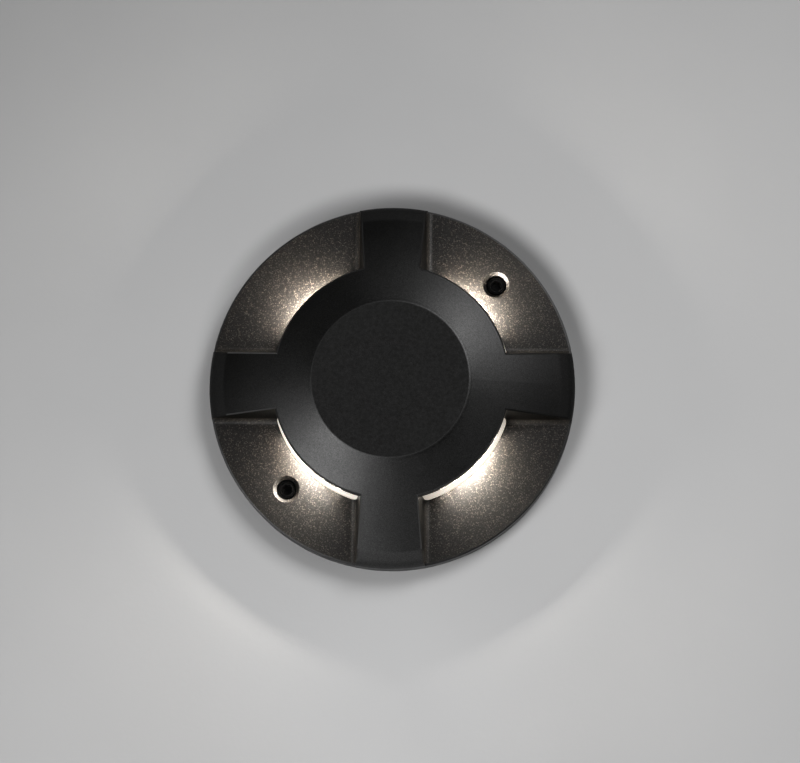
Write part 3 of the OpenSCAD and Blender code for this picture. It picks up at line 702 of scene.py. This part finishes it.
@dataclass
class Chamber(Part):
    """The lamp chamber: back plate, the two flat seals and the diffuser ring."""

    finishes: dict[Finish, tuple[str, ...]] = field(default_factory=lambda: {
        Finish("bare die casting", (0.42, 0.43, 0.44), (0.56, 0.57, 0.58), gloss=(0.4, 0.58), patch=11.0,
               grain=0.8, depth=0.02, metallic=1.0): ("back_plate",),
        Finish("moulded seal rubber", (0.022, 0.022, 0.023), (0.045, 0.044, 0.043), gloss=(0.62, 0.78),
               patch=7.0, grain=0.3, depth=0.01):
            ("lower_seal", "upper_seal", "gland_gasket", "gland_seal"),
        Satin("satin diffuser", (0.86, 0.83, 0.76), (0.92, 0.9, 0.84), gloss=(0.5, 0.6), patch=5.0,
              grain=0.35, depth=0.006): ("diffuser",),
    })


@dataclass
class Lamp(Part):
    """The lamp: heat sink, pad, four boards with their packages, and the scoops to the windows."""

    finishes: dict[Finish, tuple[str, ...]] = field(default_factory=lambda: {
        RolledSheet("milled heat sink", (0.66, 0.67, 0.69), (0.78, 0.79, 0.8), gloss=(0.24, 0.34), patch=9.0,
                    grain=0.5, depth=0.008, metallic=1.0, along=45.0): ("heat_sink",),
        Finish("soft thermal pad", (0.34, 0.39, 0.46), (0.45, 0.5, 0.56), gloss=(0.7, 0.85), patch=3.0,
               grain=0.4, depth=0.02): ("thermal_pad",),
        Laminate("white board", (0.7, 0.7, 0.67), (0.86, 0.86, 0.84), gloss=(0.35, 0.45), depth=0.02, track=3.0):
            ("led_board_1", "led_board_2", "led_board_3", "led_board_4"),
        Finish("phosphor", (0.88, 0.68, 0.16), (0.93, 0.76, 0.26), gloss=(0.3, 0.4), patch=0.7, grain=0.15,
               depth=0.01): ("led_packages",),
        Finish("white reflector", (0.84, 0.84, 0.82), (0.9, 0.9, 0.89), gloss=(0.14, 0.24), patch=6.0,
               grain=0.6, depth=0.004): ("reflector_1", "reflector_2", "reflector_3", "reflector_4"),
    })


@dataclass
class Driver(Part):
    """The driver board with everything on it, its leads and the earth point."""

    finishes: dict[Finish, tuple[str, ...]] = field(default_factory=lambda: {
        Laminate("green board", (0.07, 0.27, 0.1), (0.03, 0.17, 0.06), gloss=(0.28, 0.4), depth=0.035):
            ("driver_board",),
        Finish("black moulding", (0.018, 0.018, 0.02), (0.035, 0.035, 0.037), gloss=(0.42, 0.58), patch=2.5,
               grain=0.2, depth=0.01): ("driver_chips", "fuse", "choke"),
        Finish("sintered ferrite", (0.045, 0.045, 0.048), (0.09, 0.09, 0.092), gloss=(0.5, 0.68), patch=1.5,
               grain=0.3, depth=0.02): ("transformer_core",),
        Wound("winding tape", (0.72, 0.5, 0.08), (0.5, 0.33, 0.04), gloss=(0.3, 0.16), depth=0.05):
            ("transformer_winding",),
        Finish("shrink sleeve", (0.03, 0.04, 0.13), (0.05, 0.06, 0.17), gloss=(0.14, 0.24), patch=4.0,
               grain=0.5, depth=0.01): ("storage_capacitor",),
        Finish("moulded red box", (0.5, 0.05, 0.03), (0.6, 0.08, 0.05), gloss=(0.2, 0.32), patch=4.0,
               grain=0.4, depth=0.008): ("film_capacitor",),
        Finish("dipped lacquer", (0.03, 0.12, 0.4), (0.05, 0.17, 0.5), gloss=(0.1, 0.2), patch=2.5,
               grain=1.2, depth=0.05): ("varistor",),
        Finish("moulded terminal block", (0.05, 0.26, 0.1), (0.08, 0.34, 0.14), gloss=(0.35, 0.48), patch=4.0,
               grain=0.35, depth=0.01): ("terminal_block",),
        Finish("tinned brass", (0.66, 0.56, 0.32), (0.74, 0.7, 0.55), gloss=(0.24, 0.38), patch=1.4,
               grain=0.3, depth=0.006, metallic=1.0): ("terminal_screws", "earth_washer"),
        Finish("red insulation", (0.52, 0.025, 0.02), (0.62, 0.05, 0.04), gloss=(0.36, 0.5), patch=3.0,
               grain=0.3, depth=0.008): ("positive_leads",),
        Finish("black insulation", (0.02, 0.02, 0.02), (0.04, 0.04, 0.04), gloss=(0.36, 0.5), patch=3.0,
               grain=0.3, depth=0.008): ("negative_leads",),
    })


@dataclass
class Gland(Part):
    """The cable gland in the well of the back plate."""

    finishes: dict[Finish, tuple[str, ...]] = field(default_factory=lambda: {
        Turned("nickel-plated brass", (0.6, 0.56, 0.46), (0.72, 0.68, 0.58), gloss=(0.2, 0.34), patch=4.0,
               depth=0.008, metallic=1.0): ("gland_body", "gland_locknut", "gland_nut"),
    })


def outward(bearing: float) -> Vector:
    """The level direction of a bearing, in degrees from +X towards +Y."""
    return Vector((math.cos(math.radians(bearing)), math.sin(math.radians(bearing)), 0.0))


def area_lamp(name: str, wide: float, high: float, radiance: float, colour: Rgb = WHITE) -> bpy.types.Object:
    """Makes a flat lamp and links it into the scene.

    Args:
        name: the lamp's name.
        wide: its width, in metres.
        high: its height, in metres.
        radiance: how bright its face is, whatever its size.
        colour: the light's colour.

    Returns:
        The lamp's object, still to be placed.
    """
    lamp = bpy.data.lights.new(name, "AREA")
    lamp.shape = "RECTANGLE"
    lamp.size, lamp.size_y = wide, high
    lamp.color = colour
    lamp.energy = radiance * math.pi * wide * high
    made = bpy.data.objects.new(name, lamp)
    bpy.context.scene.collection.objects.link(made)
    return made


def set_at_window(lamp: bpy.types.Object, at: Vector, facing: Vector) -> None:
    """Sets a lamp at a window, hidden from the camera, with its long side level.

    Args:
        lamp: the lamp.
        at: its middle, in millimetres.
        facing: the way it shines, of length 1.
    """
    side = UP.cross(facing).normalized()
    turn = Matrix((-side, facing.cross(side), -facing)).transposed()
    lamp.matrix_world = Matrix.Translation(at * MM) @ turn.to_4x4()
    lamp.visible_camera = False


@dataclass
class Softbox:
    """A square soft lamp that faces the light from its own bearing and height, in degrees."""

    name: str
    bearing: float
    height: float
    radiance: float
    side: float = 0.55
    distance: float = 1.2

    def build(self) -> None:
        """Hangs the lamp and turns it to the light."""
        height = math.radians(self.height)
        towards = outward(self.bearing) * math.cos(height) + UP * math.sin(height)
        lamp = area_lamp(self.name, self.side, self.side, self.radiance)
        lamp.location = towards * self.distance
        lamp.rotation_mode = "QUATERNION"
        lamp.rotation_quaternion = towards.to_track_quat("Z", "Y")
        log.info("Studio: %s hangs at bearing %.0f, height %.0f", self.name, self.bearing, self.height)


@dataclass
class WindowLamp:
    """A narrow level lamp under the lip of one window, which throws the pool of light over the rim."""

    name: str
    bearing: float
    height: float
    radiance: float
    reach: float = 53.6
    wide: float = 20.0
    high: float = 1.6
    spread: float = 140.0
    colour: Rgb = (1.0, 0.95, 0.88)

    def build(self) -> None:
        """Places the lamp, in millimetres and degrees, facing outwards."""
        out = outward(self.bearing)
        lamp = area_lamp(self.name, self.wide * MM, self.high * MM, self.radiance, self.colour)
        lamp.data.spread = math.radians(self.spread)
        set_at_window(lamp, out * self.reach + UP * self.height, out)
        log.info("Studio: %s shines out at bearing %.0f", self.name, self.bearing)


@dataclass
class WindowGlow:
    """The light of one window on its pocket floor: a fan of small lamps just before the diffuser's wall."""

    name: str
    bearing: float
    radiance: float
    foot: float = 55.6
    lean: float = 0.35
    floor_z: float = 11.3
    low: float = 12.1
    high: float = 17.1
    lamps: int = 5
    step: float = 8.0
    falloff: float = 12.5
    colour: Rgb = WARM

    def build(self) -> None:
        """Sets the lamps side by side along the wall, weaker towards the window's ends."""
        middle = (self.low + self.high) / 2
        reach = self.foot - self.lean * (middle - self.floor_z)
        tall = math.hypot(1.0, self.lean) * (self.high - self.low)
        wide = math.radians(self.step) * self.foot
        for index in range(self.lamps):
            aside = (index - (self.lamps - 1) / 2) * self.step
            out = outward(self.bearing + aside)
            share = math.exp(-(aside / self.falloff) ** 2)
            lamp = area_lamp(f"{self.name}_{index + 1}", wide * MM, tall * MM, share * self.radiance, self.colour)
            set_at_window(lamp, out * reach + UP * middle, (out + self.lean * UP).normalized())
        log.info("Studio: %s lights the floor at bearing %.0f", self.name, self.bearing)


@dataclass
class Studio:
    """Pale floor with a painted light slope, a painted contact shadow and a painted pool of light, two softboxes,
    a dim room, the windows' light and the camera nearly overhead.

    Lengths on the floor's pattern are in millimetres, and the rest are in metres.
    """

    floor_colour: Rgb = (0.487, 0.487, 0.489)
    painted_slope: Pair = (0.38, -0.75)
    painted_fall: float = -1.6
    floor_r: float = 6.0
    under_r: float = 0.078
    painted_shadow_centre: Pair = (0.8, 3.2)
    painted_shadow_r: Pair = (98.0, 87.0)
    painted_shadow_depth: Pair = (0.14, 0.42)
    painted_pool_y: float = -150.0
    painted_pool_r: Pair = (100.0, 20.0)
    painted_pool_lift: float = 1.08
    pale_r: Pair = (245.0, 640.0)
    room: float = 0.012
    backdrop: Rgb = (0.42, 0.42, 0.42)
    back: Vector = field(default_factory=lambda: Vector((0.037, -0.165, 1.0)).normalized())
    distance: float = 1.15
    rim_height: float = 0.0044
    pixels_per_mm: float = 2.149
    image: tuple[int, int] = (800, 763)
    centre: Pair = (392.4, 388.9)
    roll: float = 0.25
    softboxes: tuple[Softbox, ...] = (
        Softbox("softbox_near", 217.0, 49.5, 9.4),
        Softbox("softbox_far", 46.0, 51.0, 9.6),
    )
    window_lamps: tuple[WindowLamp, ...] = (
        WindowLamp("window_lamp_1", 41.0, 17.0, 330.0),
        WindowLamp("window_lamp_2", 139.0, 17.4, 230.0),
        WindowLamp("window_lamp_3", 232.0, 19.7, 470.0),
        WindowLamp("window_lamp_4", 308.0, 19.5, 290.0),
    )
    window_glows: tuple[WindowGlow, ...] = (
        WindowGlow("window_glow_1", 45.0, 570.0),
        WindowGlow("window_glow_2", 135.0, 550.0),
        WindowGlow("window_glow_3", 225.0, 430.0),
        WindowGlow("window_glow_4", 315.0, 485.0),
    )

    def floor(self) -> None:
        """Lays the floor round the light, open under its plate so that the plate shows from below."""
        bpy.ops.object.select_all(action="DESELECT")
        bpy.ops.mesh.primitive_circle_add(vertices=96, radius=self.floor_r, fill_type="NGON")
        plane = bpy.context.object
        plane.name = "studio_floor"
        bpy.ops.object.mode_set(mode="EDIT")
        bpy.ops.mesh.select_all(action="SELECT")
        bpy.ops.mesh.inset(thickness=self.floor_r - self.under_r)
        bpy.ops.mesh.delete(type="FACE")
        bpy.ops.object.mode_set(mode="OBJECT")
        graph = Graph("pale floor")
        x, y, _ = graph.axes()
        r = graph.radius(x, y)
        full = tuple(2 * part for part in self.floor_colour)
        graph.set(Base_Color=graph.tint(graph.span(self.painted_light_and_shade(graph, x, y, r), 0.0, 2.0), BLACK, full),
                  Roughness=0.9, Specular_IOR_Level=0.2, Normal=graph.relief(graph.noise(3.0, 3.0), 0.05))
        self.pale_beyond(graph, r)
        plane.data.materials.append(graph.material)

    def painted_light_and_shade(self, graph: Graph, x: Socket, y: Socket, r: Socket) -> Feed:
        """Paints light and shade into the floor's colour: a slow painted light slope, a painted contact shadow
        round the light and one soft painted pool of light.

        Args:
            graph: the floor's node tree.
            x: place along X.
            y: place along Y.
            r: distance from the light's axis.

        Returns:
            A factor on the floor's colour.
        """
        cloud = graph.span(graph.noise(60.0, 3.0), 0.3, 0.7, -0.01, 0.01)
        # Painted light: a slow slope across the floor and a fall far out, standing in for how the softboxes' light
        # spreads over it.
        slope = graph.sum(Sum.ADD, graph.product(x, self.painted_slope[0] * MM),
                          graph.product(y, self.painted_slope[1] * MM))
        fall = graph.product(graph.sum(Sum.POWER, graph.product(r, MM), 2.0), self.painted_fall)
        slow = graph.sum(Sum.ADD, graph.sum(Sum.ADD, slope, fall), cloud)
        # Painted contact shadow: a darker ring round the foot of the light, deeper towards the top and right and
        # fading out towards the bottom.
        ring = graph.radius(graph.sum(Sum.TAKE, x, self.painted_shadow_centre[0]),
                            graph.sum(Sum.TAKE, y, self.painted_shadow_centre[1]))
        near = graph.sum(Sum.TAKE, graph.product(x, 0.5), y)
        beyond = graph.sum(Sum.ADD, graph.product(x, 0.25), graph.product(y, 0.97))
        close = graph.product(graph.ease(ring, *self.painted_shadow_r), graph.ease(near, 90.0, 60.0),
                              graph.ease(beyond, -10.0, 80.0, *self.painted_shadow_depth))
        # Painted pool of light: the floor lighter in a soft patch below the light, where the windows throw their
        # light.
        pool = graph.radius(x, graph.sum(Sum.TAKE, y, self.painted_pool_y))
        return graph.product(graph.span(slow, -0.4, 0.4, 0.6, 1.4), graph.sum(Sum.TAKE, 1.0, close),
                             graph.ease(pool, *self.painted_pool_r, 1.0, self.painted_pool_lift))

    def pale_beyond(self, graph: Graph, r: Socket) -> None:
        """Keeps the floor pale far out, where no lamp reaches, for the camera and for glossy pieces.

        Args:
            graph: the floor's node tree.
            r: distance from the light's axis, in millimetres.
        """
        path = graph.node("LightPath").outputs
        seen = graph.sum(Sum.MOST, path["Is Camera Ray"],
                         graph.sum(Sum.MOST, path["Is Glossy Ray"], path["Is Transmission Ray"]))
        pale = graph.node("Emission", {"Color": self.backdrop, "Strength": 1.0})
        far = graph.product(seen, graph.ease(r, *self.pale_r))
        mix = graph.node("MixShader", {0: far, 1: graph.shader.outputs[0], 2: pale.outputs[0]})
        graph.feed(graph.tree.nodes["Material Output"].inputs["Surface"], mix.outputs[0])

    def world(self) -> None:
        """A dim room with pale walls low down, pale below the floor, which the camera sees pale all over."""
        world = bpy.data.worlds.new("studio")
        bpy.context.scene.world = world
        world.use_nodes = True
        world.node_tree.nodes.clear()
        tree = Tree(world.node_tree)
        height = tree.node("SeparateXYZ", {0: tree.node("TexCoord").outputs["Generated"]}).outputs[2]
        path = tree.node("LightPath").outputs
        shiny = tree.sum(Sum.MOST, path["Is Glossy Ray"], path["Is Transmission Ray"])
        walls = tree.product(shiny, tree.ease(height, 0.2, 0.05))
        shown = tree.sum(Sum.MOST, path["Is Camera Ray"], walls)
        pale = tree.sum(Sum.MOST, shown, tree.span(height, -0.02, -0.1))
        sky = tree.node("Background", {"Color": tree.tint(pale, (self.room,) * 3, self.backdrop)})
        tree.node("OutputWorld", {"Surface": sky.outputs[0]})

    def camera(self) -> None:
        """Sets the camera nearly overhead, with the arms along the picture's edges."""
        lens = bpy.data.cameras.new("camera")
        lens.sensor_fit = "HORIZONTAL"
        width, height = self.image
        focus = self.pixels_per_mm / MM * (self.distance - self.rim_height)
        lens.lens = focus * lens.sensor_width / width
        lens.clip_start, lens.clip_end = 0.01, 50.0
        right = (Vector((1, 0, 0)) - self.back.x * self.back).normalized()
        up = self.back.cross(right)
        tilt = Matrix.Rotation(math.radians(self.roll), 3, self.back)
        right, up = tilt @ right, tilt @ up
        aside = (width / 2 - self.centre[0]) / self.pixels_per_mm * MM
        above = (self.centre[1] - height / 2) / self.pixels_per_mm * MM
        at = Vector((0, 0, self.rim_height)) + right * aside + up * above + self.back * self.distance
        placed = bpy.data.objects.new("camera", lens)
        turn = Matrix((right, up, self.back)).transposed().to_4x4()
        placed.matrix_world = Matrix.Translation(at) @ turn
        bpy.context.scene.collection.objects.link(placed)
        bpy.context.scene.camera = placed

    def build(self) -> None:
        """Builds the whole studio."""
        bpy.context.scene.view_settings.view_transform = "Standard"
        self.floor()
        self.world()
        for lamp in (*self.softboxes, *self.window_lamps, *self.window_glows):
            lamp.build()
        self.camera()


def main() -> None:
    """Dresses each sub-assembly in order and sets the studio."""
    logging.basicConfig(level=logging.INFO, format="%(message)s")
    for part in (Cover(), Fixing(), Chamber(), Lamp(), Driver(), Gland()):
        part.dress()
    Studio().build()


if __name__ == "__main__":
    main()
